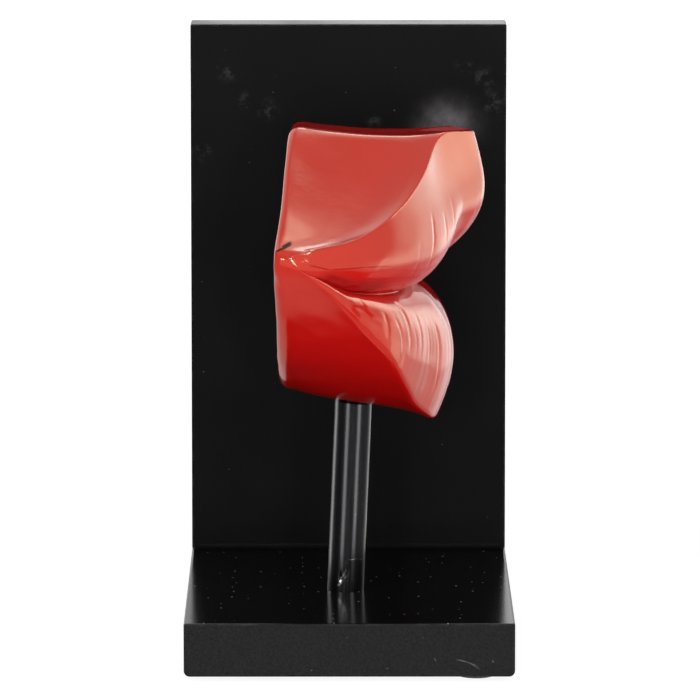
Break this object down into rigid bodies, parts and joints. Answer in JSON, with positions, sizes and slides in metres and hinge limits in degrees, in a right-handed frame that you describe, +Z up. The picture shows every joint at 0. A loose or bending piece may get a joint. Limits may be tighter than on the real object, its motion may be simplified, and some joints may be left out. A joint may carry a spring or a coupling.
{
  "type": "bookend",
  "caption": "Black bookend with a base board and an upright back panel; a leaning post on the board carries a pair of glossy red lips.",
  "frame": {"origin": "centre of the bounding box at the undersides of the foot pads", "axes": "+Z up, +Y towards the books behind the back panel, +X the way the lips face"},
  "size_m": [0.11, 0.156, 0.205],
  "materials": {
    "black_board": "satin black lacquer on fibreboard",
    "black_filler": "brushed filler under black lacquer",
    "beech": "plain",
    "zinc_steel": "zinc plated",
    "black_chrome": "polished black chrome",
    "brass": "turned",
    "red_gloss": "high gloss red lacquer",
    "pad_rubber": "matte"
  },
  "bodies": {
    "root": {"base_board": "black_board", "back_panel": "black_board", "joint_filler": "black_filler", "panel_dowel_left": "beech", "panel_dowel_right": "beech", "panel_screw_left": "zinc_steel", "panel_screw_right": "zinc_steel", "post": "black_chrome", "post_screw": "zinc_steel", "post_washer": "zinc_steel", "post_stud": "zinc_steel", "lips_insert": "brass", "lips": "red_gloss", "foot_pad_front_left": "pad_rubber", "foot_pad_front_right": "pad_rubber", "foot_pad_rear_left": "pad_rubber", "foot_pad_rear_right": "pad_rubber"}
  },
  "joints": []
}
